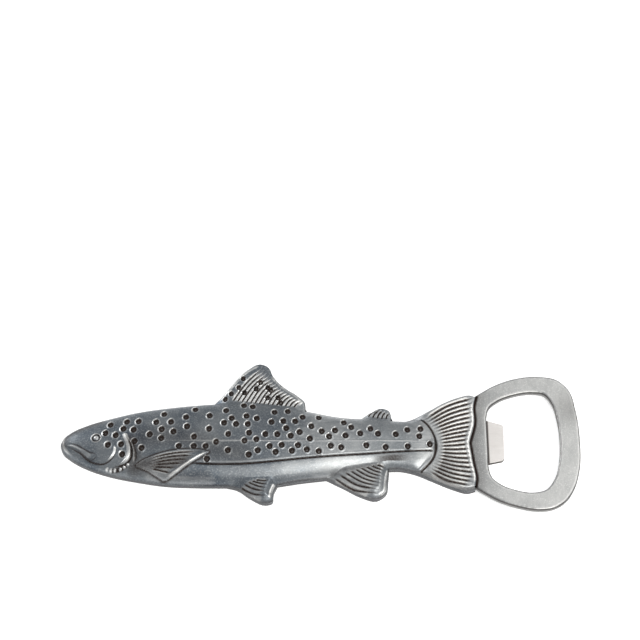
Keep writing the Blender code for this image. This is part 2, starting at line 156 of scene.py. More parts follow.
# Lines of the head.
SNOUT_RIM = [(-85.4, 3.0), (-86.7, 1.8), (-87.0, 0.3), (-86.7, -1.2), (-85.4, -2.9), (-83.0, -4.7)]
LIP = [(-86.4, -0.9), (-84.4, -1.2), (-82.4, -2.0), (-80.6, -3.2), (-79.2, -4.4)]
MOUTH = [(-87.2, -0.7), (-85.4, -1.6), (-83.5, -2.5), (-82.1, -3.4), (-80.7, -4.3), (-79.4, -5.6),
         (-77.5, -6.9), (-75.4, -7.7), (-73.0, -8.1), (-71.2, -7.6), (-69.7, -6.4), (-68.8, -5.0),
         (-68.7, -3.6)]
CHEEK_CREST = [(-69.3, -1.9), (-69.1, -3.8), (-69.6, -5.4), (-70.8, -6.7), (-72.4, -7.6)]
JAW_UPPER = [(-86.0, -0.5), (-83.5, -0.8), (-81.6, -1.6), (-79.7, -2.9), (-77.6, -4.2), (-75.7, -4.9),
             (-75.2, -5.7)]
JAW_LOWER = [(-75.2, -5.7), (-76.5, -6.5), (-77.8, -6.3), (-79.4, -5.0), (-81.0, -3.5), (-82.6, -2.6)]
JAW_MIDDLE = [(-81.5, -2.5), (-79.6, -3.9), (-77.8, -5.2), (-76.4, -5.8)]
GILL_CREST = [(-66.1, 2.4), (-65.6, 0.8), (-64.9, -0.9), (-64.4, -2.6), (-64.2, -4.6), (-64.4, -6.1),
              (-65.3, -7.4), (-66.5, -8.3), (-68.6, -8.9)]
GILL_VALLEY = [(-65.0, 0.6), (-64.3, -0.9), (-63.5, -3.0), (-63.3, -5.0), (-63.6, -6.9), (-64.8, -8.3),
               (-66.8, -9.0), (-69.6, -9.2)]
GILL_SECOND = [(-64.6, -0.2), (-63.6, -2.1), (-62.8, -4.0), (-62.5, -5.9), (-62.7, -7.5), (-63.3, -8.3)]
GILL_SHADOW = [(-63.9, -0.2), (-62.8, -2.2), (-62.1, -4.2), (-61.9, -6.0), (-62.2, -7.8), (-63.0, -9.0)]
GILL_RAYS = [(-71.7, -9.6), (-70.4, -10.0), (-69.0, -10.1), (-67.1, -10.0), (-65.8, -9.5), (-64.6, -8.8)]
EYE = (-75.65, 0.85)

# The long lines of the body.
LATERAL_LINE = [(-63.0, -2.8), (-61.4, -1.5), (-57.0, -1.0), (-40.0, -1.1), (-20.0, -1.0), (-3.0, -0.8),
                (12.0, -0.4), (27.0, 0.0), (38.6, 0.2)]
BELLY_LINE = [(-45.0, -8.7), (-34.0, -9.1), (-25.0, -8.9), (-15.0, -8.0), (-5.0, -6.8), (5.0, -5.8),
              (15.0, -4.9), (26.0, -3.9), (38.8, -3.1)]
TAIL_ARC = [(34.4, 9.3), (36.6, 6.6), (38.2, 3.6), (39.0, 0.3), (39.0, -2.8), (38.2, -5.6), (36.2, -8.4),
            (33.3, -11.0)]

# The pectoral fin lies on the body: its outline, rear edge first, and its grooves.
PECTORAL_FIN = [(-62.0, -9.4), (-60.2, -8.0), (-57.6, -6.8), (-54.5, -5.7), (-50.7, -4.7), (-46.9, -4.2),
                (-43.0, -4.1), (-39.4, -4.4), (-37.2, -5.2), (-39.1, -6.4), (-42.7, -8.5), (-45.7, -10.4),
                (-48.5, -12.2), (-50.6, -13.3), (-52.2, -13.7), (-55.0, -12.6), (-58.0, -11.0),
                (-60.6, -10.1)]
PECTORAL_GROOVES = ([(-59.8, -8.5), (-56.5, -7.2), (-52.0, -6.1), (-46.8, -5.4), (-40.8, -5.2)],
                    [(-59.4, -8.8), (-56.0, -7.9), (-51.5, -7.0), (-46.0, -6.5), (-42.0, -6.6)],
                    [(-59.0, -9.1), (-55.5, -8.6), (-51.0, -8.0), (-46.5, -7.7), (-43.6, -7.9)],
                    [(-59.0, -9.4), (-55.0, -9.3), (-51.0, -9.1), (-47.5, -9.0), (-45.4, -9.2)],
                    [(-58.6, -9.7), (-55.0, -10.0), (-51.5, -10.2), (-48.0, -10.4)],
                    [(-58.4, -10.1), (-55.0, -10.8), (-52.3, -11.4), (-49.8, -11.9)])
PECTORAL_FRONT = [(-61.0, -9.6), (-58.4, -10.6), (-55.4, -12.0), (-52.8, -13.0)]
PECTORAL_REAR = PECTORAL_FIN[8:15]

# Fins with rays: roots and tips of the fan, the number of grooves, the bow of the first and last
# one as a fraction of its length, a groove's half width and depth, how it fades at root and tip,
# and how bright the rays between are.
RAY_FANS = (([(-29.9, 16.0), (-24.0, 15.4), (-17.0, 14.6), (-9.0, 13.9)],
             [(-19.8, 29.4), (-16.8, 26.0), (-13.2, 21.4), (-9.0, 17.9), (-6.8, 15.9)], 15,
             (0.05, 0.10), (0.43, 0.50), (0.05, 0.3), 0.75),
            ([(16.4, 10.2), (19.0, 9.3), (22.4, 9.2)],
             [(18.9, 12.5), (21.2, 12.6), (23.3, 11.4)], 5, (0.10, 0.06), (0.42, 0.45), (0.1, 0.2), 0.35),
            ([(4.5, -12.3), (8.3, -10.8), (12.8, -9.4), (19.0, -8.2)],
             [(19.2, -18.6), (20.3, -15.6), (20.9, -11.8), (21.8, -8.9)], 9, (-0.09, -0.04),
             (0.50, 0.42), (0.1, 0.3), 0.5),
            ([(-26.8, -15.8), (-24.4, -14.6), (-21.6, -13.9)],
             [(-18.4, -19.5), (-18.0, -17.0), (-17.4, -14.1)], 5, (-0.08, -0.03),
             (0.46, 0.40), (0.1, 0.3), 0.3),
            ([(35.6, 9.0), (38.6, 5.8), (40.3, 1.6), (40.3, -2.7), (39.0, -6.4), (36.2, -10.4)],
             [(51.9, 17.5), (51.7, 12.4), (51.5, 8.0), (49.7, 0.6), (50.7, -6.8), (51.4, -13.0),
              (49.6, -15.8)], 20, (0.06, -0.07), (0.68, 0.38), (0.2, 0.12), 0.8))

# Polished edges of the fins and of the body: the curve, its half width, and how bright it is.
BRIGHT_EDGES = (([(53.0, 17.4), (51.9, 14.4), (51.9, 8.4), (49.9, 0.4), (50.8, -7.1), (51.6, -14.0),
                  (50.8, -16.0)], 1.1, 1.0),
                ([(51.2, 16.6), (50.4, 12.4), (50.2, 7.8), (48.6, 0.5), (49.4, -7.0),
                  (50.2, -13.4)], 2.6, 0.7),
                ([(22.9, -9.2), (22.1, -12.0), (21.7, -15.0), (21.4, -17.4), (19.4, -19.1)], 0.6, 0.9),
                ([(21.4, -11.6), (20.6, -15.0), (19.2, -18.0)], 1.4, 0.2),
                ([(4.5, -13.2), (10.5, -16.0), (16.5, -18.8)], 1.1, 0.85),
                ([(-15.4, -14.8), (-16.5, -17.6), (-16.9, -20.2)], 0.6, 1.0),
                ([(-29.0, -16.0), (-24.0, -18.5), (-19.2, -20.7)], 0.9, 0.4),
                ([(-35.2, 16.6), (-32.4, 19.0), (-28.4, 24.3), (-24.6, 28.2), (-20.8, 30.3)], 0.6, 0.6),
                ([(-76.0, 8.0), (-71.5, 9.4), (-62.0, 11.9), (-50.0, 13.8), (-38.0, 14.9)], 0.55, 0.35),
                ([(-60.0, -11.9), (-48.0, -13.5), (-34.0, -13.9)], 1.2, 0.2),
                ([(-17.2, 26.0), (-12.8, 21.2), (-8.2, 17.9), (-6.4, 16.2)], 0.6, 0.5),
                ([(-8.2, 16.4), (-6.5, 14.8)], 1.3, 1.0),
                ([(16.2, 11.2), (20.3, 12.9), (22.8, 12.1), (23.4, 10.6)], 0.45, 0.2))

# Broad faint patina: the curve, its half width, and how dark it is. It lies at the anal fin's root,
# above, on and below the pectoral fin, on the forehead, and behind the gill cover.
STAINS = (([(4.0, -11.4), (12.0, -9.4), (20.0, -8.4)], 1.5, 0.4),
          ([(-60.0, 0.0), (-50.0, 1.0), (-41.0, -1.5), (-34.0, -4.5), (-27.0, -5.5)], 7.0, 0.36),
          ([(-62.5, -9.5), (-58.0, -9.0), (-53.0, -9.0), (-46.0, -8.0)], 4.0, 0.66),
          ([(-64.0, -10.2), (-52.0, -12.2), (-38.0, -12.4)], 2.6, 0.25),
          ([(-87.0, -0.5), (-86.0, 3.0), (-82.0, 5.6), (-75.0, 8.4)], 2.6, 0.55),
          (GILL_SHADOW, 3.2, 0.58))

# Spots of the trout: small dimples on the body and on the dorsal fin, given by their places. They
# are a little taller than wide, more so on the back than on the side.
BODY_SPOT = (1.04, 0.45)         # radius and depth
FIN_SPOT = (0.85, 0.4)
SPOT_TALLNESS = (1.06, 1.22)     # on the side and on the back
SIDE_AND_BACK = (-3.0, 4.0)      # Y up to which and from which they hold
BODY_SPOTS = (
    (-72.5, 2.5), (-71.5, -2), (-71, 6), (-69, 1.5), (-67, -2), (-66.5, -5.5), (-66.5, 4), (-65.5, 7),
    (-63, 3.5), (-62.5, -1), (-61.5, 7), (-60, -3.5), (-57.5, 1.5), (-55.5, 6.5), (-53.5, 0),
    (-53.5, 3.5), (-53, 10), (-50.5, 6.5), (-49.5, 2.5), (-47.5, -3), (-45.5, 8.5), (-45, 4.5),
    (-42.5, 0.5), (-42.5, 12), (-42.5, -3), (-38.5, -3), (-38, -7.5), (-37.5, 3.5), (-37.5, 9),
    (-35, -1.5), (-32.5, 6), (-32, 11.5), (-31, -4.5), (-31, 1.5), (-30, 8), (-28.5, 5.5),
    (-26, 14), (-25.5, -1), (-25, 9), (-24.5, 5.5), (-24, -6), (-24, 2), (-23, 13.5), (-21.5, -0.5),
    (-21.5, 8), (-21, -4.5), (-18.5, 1.5), (-17, -3), (-16.5, 6.5), (-15.5, 11), (-15, -5),
    (-14.5, 1.5), (-13, -2.5), (-12.5, 7), (-11.5, 4), (-11, 11.5), (-10, 1), (-9.5, -4.5),
    (-8.5, 7), (-7.5, -2.5), (-7, 2.5), (-6, 9), (-4.5, -4), (-3.5, 0), (-3, 5), (-0.5, 9),
    (-0.5, -4.5), (0.5, 3), (3, 1), (3.5, -2.5), (5, 3.5), (7, -3), (8, 7), (8.5, 1.5), (10.5, 5),
    (13.5, 2.5), (15.5, -2), (17, 4.5), (19.5, 2.5), (22, -2.5), (25.5, 2.5), (29.5, -2),
    (29.5, 4.5), (33.5, 2), (34, 5), (37, -1))
FIN_SPOTS = (
    (-26.5, 25), (-28, 21.5), (-30.5, 19), (-32.5, 17), (-26, 19.5), (-20.5, 23.5), (-22, 21),
    (-18, 21.5), (-17, 20.5), (-18, 17.5), (-14.5, 17.5), (-13.5, 15.5))

# Colours. The pairs are the dark and the light of one steel.
CAST_STEEL = ((0.080, 0.097, 0.118, 1), (0.19, 0.205, 0.218, 1))
CAST_SPECKLE = (0.34, 0.355, 0.36, 1)
# The casting's polished colour also gives painted highlights, and its hollow colour also painted shade.
CAST_POLISHED_AND_HIGHLIGHT = (0.86, 0.855, 0.835, 1)
CAST_HOLLOW_AND_SHADE = (0.036, 0.026, 0.022, 1)
PLATE_STEEL = ((0.31, 0.315, 0.315, 1), (0.50, 0.50, 0.495, 1))
PLATE_SPECKLE = (0.62, 0.62, 0.61, 1)
PLATE_TARNISH = (0.22, 0.225, 0.23, 1)
# The plate's polished colour is its painted rim highlight, and its hollow colour its painted shade and
# patina.
PLATE_RIM_HIGHLIGHT = (0.80, 0.80, 0.79, 1)
PLATE_SHADE_AND_PATINA = (0.020, 0.014, 0.012, 1)
COVER_STEEL = ((0.20, 0.215, 0.23, 1), (0.30, 0.31, 0.325, 1))
# The cover's edge colour is painted shade on its upright faces.
COVER_UPRIGHT_SHADE = (0.10, 0.10, 0.105, 1)
TAB_STEEL = ((0.57, 0.545, 0.53, 1), (0.73, 0.705, 0.69, 1))
RIVET_STEEL = ((0.36, 0.37, 0.39, 1), (0.50, 0.51, 0.52, 1))
# The next colour is painted shade on the upright faces of the tab and the rivets.
UPRIGHT_SHADE = (0.025, 0.018, 0.015, 1)
FLOOR_WHITE = ((0.90, 0.90, 0.90, 1), (0.92, 0.92, 0.92, 1))
NOISE_RANGE = (0.3, 0.7)         # a noise node's values lie mostly between these

# Camera, light and floor, in metres.
VIEW_ELEVATION = math.radians(58.5)
VIEW_DISTANCE = 0.7073
VIEW_TARGET = (-0.0001, 0.0484, 0.0)
LENS = 112.5
SURROUND, SURROUND_STRENGTH = (0.97, 0.985, 1.0, 1.0), 0.6
WHITE, WARM = (1.0, 1.0, 1.0), (1.0, 0.985, 0.945)
FLOOR_REACH, FLOOR_DEPTH = 6.0, -0.0001
FLOOR_GLOW = 0.45

# Soft boxes: name, place, what each faces, size, radiance and colour.
SOFTBOXES = (("key", (0.30, -0.42, 0.75), (0.0, 0.0, 0.0), (0.55, 0.35), 7.5, WARM),
             ("overhead", (0.37, 0.28, 0.62), (0.05, 0.0, 0.0), (0.5, 0.5), 1.6, WARM),
             ("back", (-0.75, 0.55, 0.42), (0.0, 0.0, 0.0), (0.4, 0.35), 8.0, WHITE))


# -------------------- curves

def smooth_through(points, steps=CURVE_STEPS):
    """Points along a smooth open curve through the given ones, spaced by chord length."""
    given = np.array(points, dtype=float)
    chords = np.linalg.norm(np.diff(given, axis=0), axis=1)
    knots = np.concatenate([[0.0], np.cumsum(chords)])
    slopes = np.gradient(given, knots, axis=0)
    samples = []
    for index, chord in enumerate(chords):
        for step in range(steps):
            t = step / steps
            start = (2 * t ** 3 - 3 * t ** 2 + 1) * given[index]
            leave = (t ** 3 - 2 * t ** 2 + t) * chord * slopes[index]
            end = (3 * t ** 2 - 2 * t ** 3) * given[index + 1]
            arrive = (t ** 3 - t ** 2) * chord * slopes[index + 1]
            samples.append(start + leave + end + arrive)
    samples.append(given[-1])
    return np.array(samples)


def closed_outline(stretches, steps=CURVE_STEPS):
    """The closed outline made of smooth stretches that meet in corners."""
    return np.concatenate([smooth_through(stretch, steps)[:-1] for stretch in stretches])


def closed_curve(points, steps=CURVE_STEPS):
    """A closed outline that is smooth all the way round."""
    lap = 3
    looped = list(points[-lap:]) + list(points) + list(points[:lap])
    samples = smooth_through(looped, steps)
    return samples[lap * steps:(lap + len(points)) * steps]


def circle(x, y, radius, count=32):
    """A closed round outline."""
    turn = np.linspace(0.0, 2 * math.pi, count, endpoint=False)
    return np.stack([x + radius * np.cos(turn), y + radius * np.sin(turn)], axis=1)


def at_fraction(points, fractions):
    """Points on a smooth curve at the given fractions of its length."""
    curve = smooth_through(points)
    steps = np.linalg.norm(np.diff(curve, axis=0), axis=1)
    lengths = np.concatenate([[0.0], np.cumsum(steps)]) / np.sum(steps)
    return np.stack([np.interp(fractions, lengths, curve[:, axis]) for axis in (0, 1)], axis=1)


def edge_height(points, at):
    """The second coordinate of a smooth curve, read where the first one has the values given."""
    samples = smooth_through(points, steps=8)
    return np.interp(at, samples[:, 0], samples[:, 1])


def nearest(curve, x, y):
    """Distance from each point to a curve, the place along it from 0 to 1, and the nearest point."""
    starts, ends = curve[:-1], curve[1:]
    lengths = np.linalg.norm(ends - starts, axis=1)
    passed = np.concatenate([[0.0], np.cumsum(lengths)])
    best = np.full(x.shape, np.inf)
    along = np.zeros(x.shape)
    near_x = np.zeros(x.shape)
    near_y = np.zeros(x.shape)
    for index, (start, end) in enumerate(zip(starts, ends)):
        step = end - start
        t = ((x - start[0]) * step[0] + (y - start[1]) * step[1]) / max(step @ step, 1e-12)
        t = np.clip(t, 0.0, 1.0)
        on_x = start[0] + t * step[0]
        on_y = start[1] + t * step[1]
        distance = np.hypot(x - on_x, y - on_y)
        closer = distance < best
        best = np.where(closer, distance, best)
        along = np.where(closer, (passed[index] + t * lengths[index]) / passed[-1], along)
        near_x = np.where(closer, on_x, near_x)
        near_y = np.where(closer, on_y, near_y)
    return best, along, near_x, near_y


def inside(loop, x, y):
    """Which points lie inside a closed outline."""
    count = np.zeros(x.shape, dtype=int)
    for (x0, y0), (x1, y1) in zip(loop, np.roll(loop, -1, axis=0)):
        crosses = (y0 > y) != (y1 > y)
        if y0 != y1:
            count += crosses & (x < x0 + (y - y0) * (x1 - x0) / (y1 - y0))
    return count % 2 == 1


def bump(ratio):
    """A smooth hump: 1 at 0, and 0 from 1 on."""
    return np.clip(1.0 - ratio ** 2, 0.0, 1.0) ** 2


def rise(value, low, high):
    """A smooth step from 0 at low to 1 at high."""
    t = np.clip((value - low) / (high - low), 0.0, 1.0)
    return t * t * (3.0 - 2.0 * t)


def fall(value, low, high):
    """A smooth step from 1 at low to 0 at high."""
    return 1 - rise(value, low, high)


def from_share(share, middle):
    """The given share where middle is 0, growing to all of it where middle is 1."""
    return share + (1 - share) * middle


# -------------------- relief

EVERYWHERE = slice(None)


class Relief:
    """Height, patina with painted shade, and polish with painted highlights at many points of the fish.
    """

    def __init__(self, x, y, edge_distance):
        self.x, self.y, self.edge_distance = x, y, edge_distance
        self.z = np.zeros(x.shape)
        self.patina_and_shade = np.zeros(x.shape)
        self.polish_and_highlight = np.zeros(x.shape)

    def window(self, points, reach):
        """Indices of the points within reach of a curve's box."""
        low, high = points.min(axis=0) - reach, points.max(axis=0) + reach
        return np.nonzero((self.x > low[0]) & (self.x < high[0]) &
                          (self.y > low[1]) & (self.y < high[1]))[0]

    def darken(self, here, amount):
        """Patina and painted shade, where there isn't as much already."""
        self.patina_and_shade[here] = np.maximum(self.patina_and_shade[here], amount)

    def brighten(self, here, amount):
        """Polish and painted highlights, where there isn't as much already."""
        self.polish_and_highlight[here] = np.maximum(self.polish_and_highlight[here], amount)

    def stroke(self, points, width, height, patina_and_shade=0.0, polish_and_highlight=0.0, halo=2.5, taper=(0.15, 0.15)):
        """A groove or a ridge along a curve, thinner and lower towards its ends. The width is half
        of it, the halo says how many times as far the polish reaches, and the taper over what share
        of the curve it thins at each end."""
        curve = smooth_through(points)
        here = self.window(curve, width * halo)
        distance, along, _, _ = nearest(curve, self.x[here], self.y[here])
        ends = rise(along, 0.0, taper[0]) if taper[0] else np.ones(along.shape)
        if taper[1]:
            ends = ends * rise(1.0 - along, 0.0, taper[1])
        local = width * from_share(0.35, ends)
        self.z[here] += height * bump(distance / local) * from_share(0.25, ends)
        if patina_and_shade:
            self.darken(here, patina_and_shade * fall(distance / local, 0.35, 1.0) * from_share(0.35, ends))
        if polish_and_highlight:
            self.brighten(here, polish_and_highlight * fall(distance / local, 0.5 * halo, halo) * ends)

    def stain(self, points, width, amount):
        """A broad faint patina along a curve."""
        curve = smooth_through(points)
        here = self.window(curve, width)
        distance, _, _, _ = nearest(curve, self.x[here], self.y[here])
        self.darken(here, amount * bump(distance / width))

    def raised(self, loop, height, rounding, patina_and_shade, polish_and_highlight):
        """A flat piece lying on the body: a raised area with a rounded rim and a dark foot."""
        closed = np.concatenate([loop, loop[:1]])
        here = self.window(closed, 2.0)
        distance, _, _, _ = nearest(closed, self.x[here], self.y[here])
        within = inside(loop, self.x[here], self.y[here])
        into_rim = 1 - np.clip(distance / rounding, 0, 1)
        self.z[here] += np.where(within, height * np.sqrt(1 - into_rim ** 2), 0)
        self.darken(here, patina_and_shade * bump(distance / 0.8) * ~within)
        self.brighten(here, polish_and_highlight * bump((distance - 0.5) / 0.6) * within)

    def clean(self, x, y, radius):
        """Rub the patina off round a point."""
        here = self.window(np.array([[x, y]]), radius)
        self.patina_and_shade[here] *= rise(np.hypot(self.x[here] - x, self.y[here] - y), 0.7 * radius, radius)

    def ring(self, x, y, radius, width, height, patina_and_shade=0.0, polish_and_highlight=0.0):
        """A round ridge or groove."""
        here = self.window(np.array([[x, y]]), radius + 2 * width)
        ratio = (np.hypot(self.x[here] - x, self.y[here] - y) - radius) / width
        self.z[here] += height * bump(ratio)
        self.darken(here, patina_and_shade * bump(ratio))
        self.brighten(here, polish_and_highlight * bump(ratio))


def body_dome(x, y):
    """Height of the body alone, rounded across, and flowing out flat where a fin grows."""
    back, belly = edge_height(BODY_BACK, x), edge_height(BODY_BELLY, x)
    half = np.maximum((back - belly) / 2, 0.05)
    across = (y - (back + belly) / 2) / half
    flow = sum(rise(x, low - FLOW_START, low + FLOW_START) * fall(x, high - FLOW_END, high + FLOW_END)
               for low, high in FINS_OF_BACK)
    flow = np.where(across > 0, flow, 0.0)
    sinking = (EDGE_HEIGHT - BELLY_EDGE_HEIGHT) * fall(x, *BELLY_EDGE_RISES) * (across < 0)
    edge = EDGE_HEIGHT - sinking + (FIN_TOP - 0.1 - EDGE_HEIGHT) * flow
    rounded = np.clip(1 - across ** 2, 0, 1) ** (0.5 + 0.45 * flow)
    dome = edge + (edge_height(RIDGE, x) - edge) * rounded
    return np.where((np.abs(across) < 1.0) & (x < BODY_END), dome, 0.0)


def smooth_max(one, other, softness):
    """The higher of two heights, with the crease between them rounded."""
    return 0.5 * (one + other + np.sqrt((one - other) ** 2 + softness ** 2))


def behind_head(x):
    """1 along the fish from its pectoral fin on and 0 before it."""
    return rise(x, -50.0, -34.0)


def paint_body_highlight_and_shade(relief):
    """Painted highlight that makes the tail half lighter, and most of all the belly there, apart from a
    painted shaded patch before the anal fin's rear edge."""
    x, y = relief.x, relief.y
    tail_half = 0.10 * rise(x, -30.0, 0.0)
    waist = 0.18 * bump((x - 4.0) / 18.0)
    before_tail = 0.27 * rise(x, 28.0, 36.0)
    cheek = 0.05 * bump(np.hypot(x + 73.0, y + 4.0) / 6.0)
    relief.brighten(EVERYWHERE, tail_half + waist + before_tail + cheek)
    below = edge_height(BELLY_LINE, x) - y
    belly = rise(below, 0.3, 1.5) * rise(x, -45.0, 10.0) * (x < BODY_END - 0.3)
    on_body = relief.z > FIN_TOP + 0.1
    shaded_patch = bump((x - 24.0) / 8.0)
    # Painted highlight on the belly, and painted shade in the patch before the anal fin's rear edge.
    relief.brighten(EVERYWHERE, 0.25 * belly * (1 - shaded_patch) * on_body)
    relief.darken(EVERYWHERE, 0.75 * belly * shaded_patch * on_body)


def shape_body(relief):
    """The rounded body and the fins' flat blades with rounded edges, with painted shade along the
    outline.
    """
    x, y = relief.x, relief.y
    relief.z = np.maximum(body_dome(x, y), BELLY_EDGE_HEIGHT)
    rounded = np.clip(1 - relief.edge_distance / FIN_ROUNDING, 0, 1)
    blade = FIN_TOP - FIN_ROUNDING * (1 - np.sqrt(1 - rounded ** 2))
    lean, width = FIN_LEAN
    lower_fins = fall(x, 23.0, 25.0) * fall(y, -9.0, -6.0)
    blade -= lean * lower_fins * fall(relief.edge_distance, 0.0, width)
    for stretches, root, (start, full) in FIN_ROOTS:
        loop = np.concatenate([closed_outline(stretches), [stretches[-1][-1]], root])
        here = relief.window(loop, 1.5)
        on_rim = relief.edge_distance[here] < FISH_CELL / 2
        on_rim &= nearest(loop, x[here], y[here])[0] < FISH_CELL
        within = here[inside(loop, x[here], y[here]) | on_rim]
        grown_up = EDGE_HEIGHT + (blade[within] - EDGE_HEIGHT) * rise(x[within], start, full)
        relief.z[within] = smooth_max(relief.z[within], grown_up, 0.25) - 0.02
    relief.z -= TAIL_CAMBER * rise(x, 43.0, 54.0) ** 2
    # Painted shade along the outline, where the top turns down into the walls; stronger behind the head.
    relief.darken(EVERYWHERE, 0.3 * (1 + behind_head(x)) * bump(relief.edge_distance / 0.42))


def carve_rays(relief):
    """Grooves between the rays of the fins, fanned out from root to tip."""
    for roots, tips, count, bows, (width, depth), fade, shine in RAY_FANS:
        fractions = np.linspace(0.0, 1.0, count)
        starts, ends = at_fraction(roots, fractions), at_fraction(tips, fractions)
        for start, end, bow in zip(starts, ends, np.linspace(*bows, count)):
            along = end - start
            across = np.array([-along[1], along[0]])
            middle = (start + end) / 2 + bow * across
            relief.stroke([start, middle, end], width, -depth, patina_and_shade=1.0, polish_and_highlight=shine, halo=2.4,
                          taper=fade)


def polish_edges(relief):
    """Low ridges along the edges, which handling keeps bright."""
    for edge, width, shine in BRIGHT_EDGES:
        relief.stroke(edge, width, 0.15 * shine, polish_and_highlight=shine, halo=1.0, taper=(0.1, 0.1))


def stain_quiet_places(relief):
    """Patina that handling hasn't rubbed off."""
    for curve, width, amount in STAINS:
        relief.stain(curve, width, amount)


def carve_lines(relief):
    """The long lines of the body, each with its bright side, and the groove before the tail."""
    relief.stroke(LATERAL_LINE, 0.30, 0.12, polish_and_highlight=0.45, halo=1.1, taper=(0.3, 0.02))
    relief.stroke(BELLY_LINE, 0.44, -0.36, patina_and_shade=1.0, taper=(0.06, 0.02))
    above = np.array(BELLY_LINE) + (0.0, 0.75)
    relief.stroke(above, 0.5, 0.08, polish_and_highlight=0.2, halo=1.0, taper=(0.1, 0.02))
    relief.stroke(TAIL_ARC, 0.62, -0.35, patina_and_shade=1.0, taper=(0.05, 0.05))
    before = np.array(TAIL_ARC) - (0.75, 0.0)
    relief.stroke(before, 0.6, 0.10, polish_and_highlight=0.35, halo=1.3, taper=(0.1, 0.1))


def carve_head(relief):
    """Mouth, jaw, cheek, gill cover and eye."""
    relief.stroke(SNOUT_RIM, 0.45, 0.12, polish_and_highlight=0.62, halo=1.1, taper=(0.2, 0.4))
    relief.stroke(JAW_MIDDLE, 0.9, 0.18, polish_and_highlight=0.25, halo=1.0, taper=(0.3, 0.3))
    relief.stroke(MOUTH, 0.33, -0.28, patina_and_shade=0.95, taper=(0.3, 0.2))
    relief.stroke(LIP, 0.28, 0.12, polish_and_highlight=0.6, halo=1.0, taper=(0.3, 0.4))
    relief.stroke(CHEEK_CREST, 0.48, 0.30, polish_and_highlight=1.0, halo=1.0, taper=(0.25, 0.5))
    relief.stroke(JAW_UPPER, 0.28, -0.20, patina_and_shade=0.85, taper=(0.3, 0.2))
    relief.stroke(JAW_LOWER, 0.30, -0.20, patina_and_shade=0.6, taper=(0.1, 0.4))
    relief.stroke(GILL_SHADOW, 0.42, -0.25, patina_and_shade=0.95, taper=(0.15, 0.3))
    relief.stroke(GILL_VALLEY, 0.50, -0.38, patina_and_shade=1.0, taper=(0.15, 0.2))
    relief.stroke(GILL_CREST, 0.85, 0.55, polish_and_highlight=1.0, halo=1.1, taper=(0.05, 0.4))
    relief.stroke(GILL_SECOND, 0.34, 0.40, polish_and_highlight=1.0, halo=1.3, taper=(0.15, 0.2))
    relief.stroke(GILL_RAYS, 0.85, -0.10, patina_and_shade=1.0, taper=(0.35, 0.1))
    for x, y in GILL_RAYS:
        relief.clean(x, y, 0.58)
        relief.ring(x, y, 0.0, 0.70, 0.42, polish_and_highlight=1.0)
    relief.ring(*EYE, 1.62, 0.28, 0.16, polish_and_highlight=0.8)
    relief.ring(*EYE, 1.24, 0.36, -0.30, patina_and_shade=1.0)
    relief.ring(*EYE, 0.0, 1.05, 0.40, polish_and_highlight=1.0)
    relief.ring(*EYE, 0.0, 0.35, -0.15, patina_and_shade=0.7)


def carve_pectoral(relief):
    """The pectoral fin, folded flat on the body, with a bright rear edge."""
    relief.raised(closed_curve(PECTORAL_FIN), 0.55, 0.9, 1.0, 0.15)
    for groove in PECTORAL_GROOVES:
        relief.stroke(groove, 0.48, -0.36, patina_and_shade=1.0, polish_and_highlight=0.5, halo=1.8, taper=(0.4, 0.2))
    relief.stroke(PECTORAL_FRONT, 0.55, 0.15, polish_and_highlight=0.3, halo=1.0, taper=(0.2, 0.3))
    inner = np.array(PECTORAL_REAR) + (-0.45, 0.4)
    relief.stroke(inner, 0.50, 0.25, polish_and_highlight=1.0, halo=1.0, taper=(0.2, 0.2))


def dimple(relief, x, y, radius, depth):
    """One spot: a hollow with a dark floor, a paler dot in its middle and a polished rim, with a
    painted highlight on the rim's side towards the head and the back."""
    tallness = np.interp(y, SIDE_AND_BACK, SPOT_TALLNESS)
    here = relief.window(np.array([[x, y]]), 2 * tallness * radius)
    east, north = relief.x[here] - x, relief.y[here] - y
    distance = np.hypot(east, north / tallness)
    rim = bump((distance - 1.14 * radius) / (0.27 * radius))
    dot = bump(distance / (0.48 * radius))
    relief.z[here] += 0.45 * depth * rim - depth * fall(distance, 0.6 * radius, 1.05 * radius)
    relief.z[here] += 0.35 * depth * dot
    # Painted highlight on the rim's side towards the head and the back, where the light falls.
    lit_side = np.clip((0.4 * north - 0.9 * east) / (distance + 1e-6), 0, 1)
    relief.brighten(here, np.minimum(0.18 + 1.5 * lit_side, 1.0) * rim)
    relief.darken(here, fall(distance, 0.88 * radius, 1.06 * radius))
    relief.patina_and_shade[here] -= 0.36 * dot


def carve_spots(relief):
    """The spots of the body and of the dorsal fin."""
    for places, (radius, depth) in ((BODY_SPOTS, BODY_SPOT), (FIN_SPOTS, FIN_SPOT)):
        for x, y in places:
            dimple(relief, x, y, radius, depth)


def model_relief(x, y, distance):
    """The fish with all its features. Later ones lie on or cut into the earlier ones."""
    relief = Relief(x, y, distance)
    for feature in (shape_body, paint_body_highlight_and_shade, carve_rays, polish_edges, stain_quiet_places,
                    carve_pectoral, carve_lines, carve_spots, carve_head):
        feature(relief)
    return relief


# -------------------- meshes

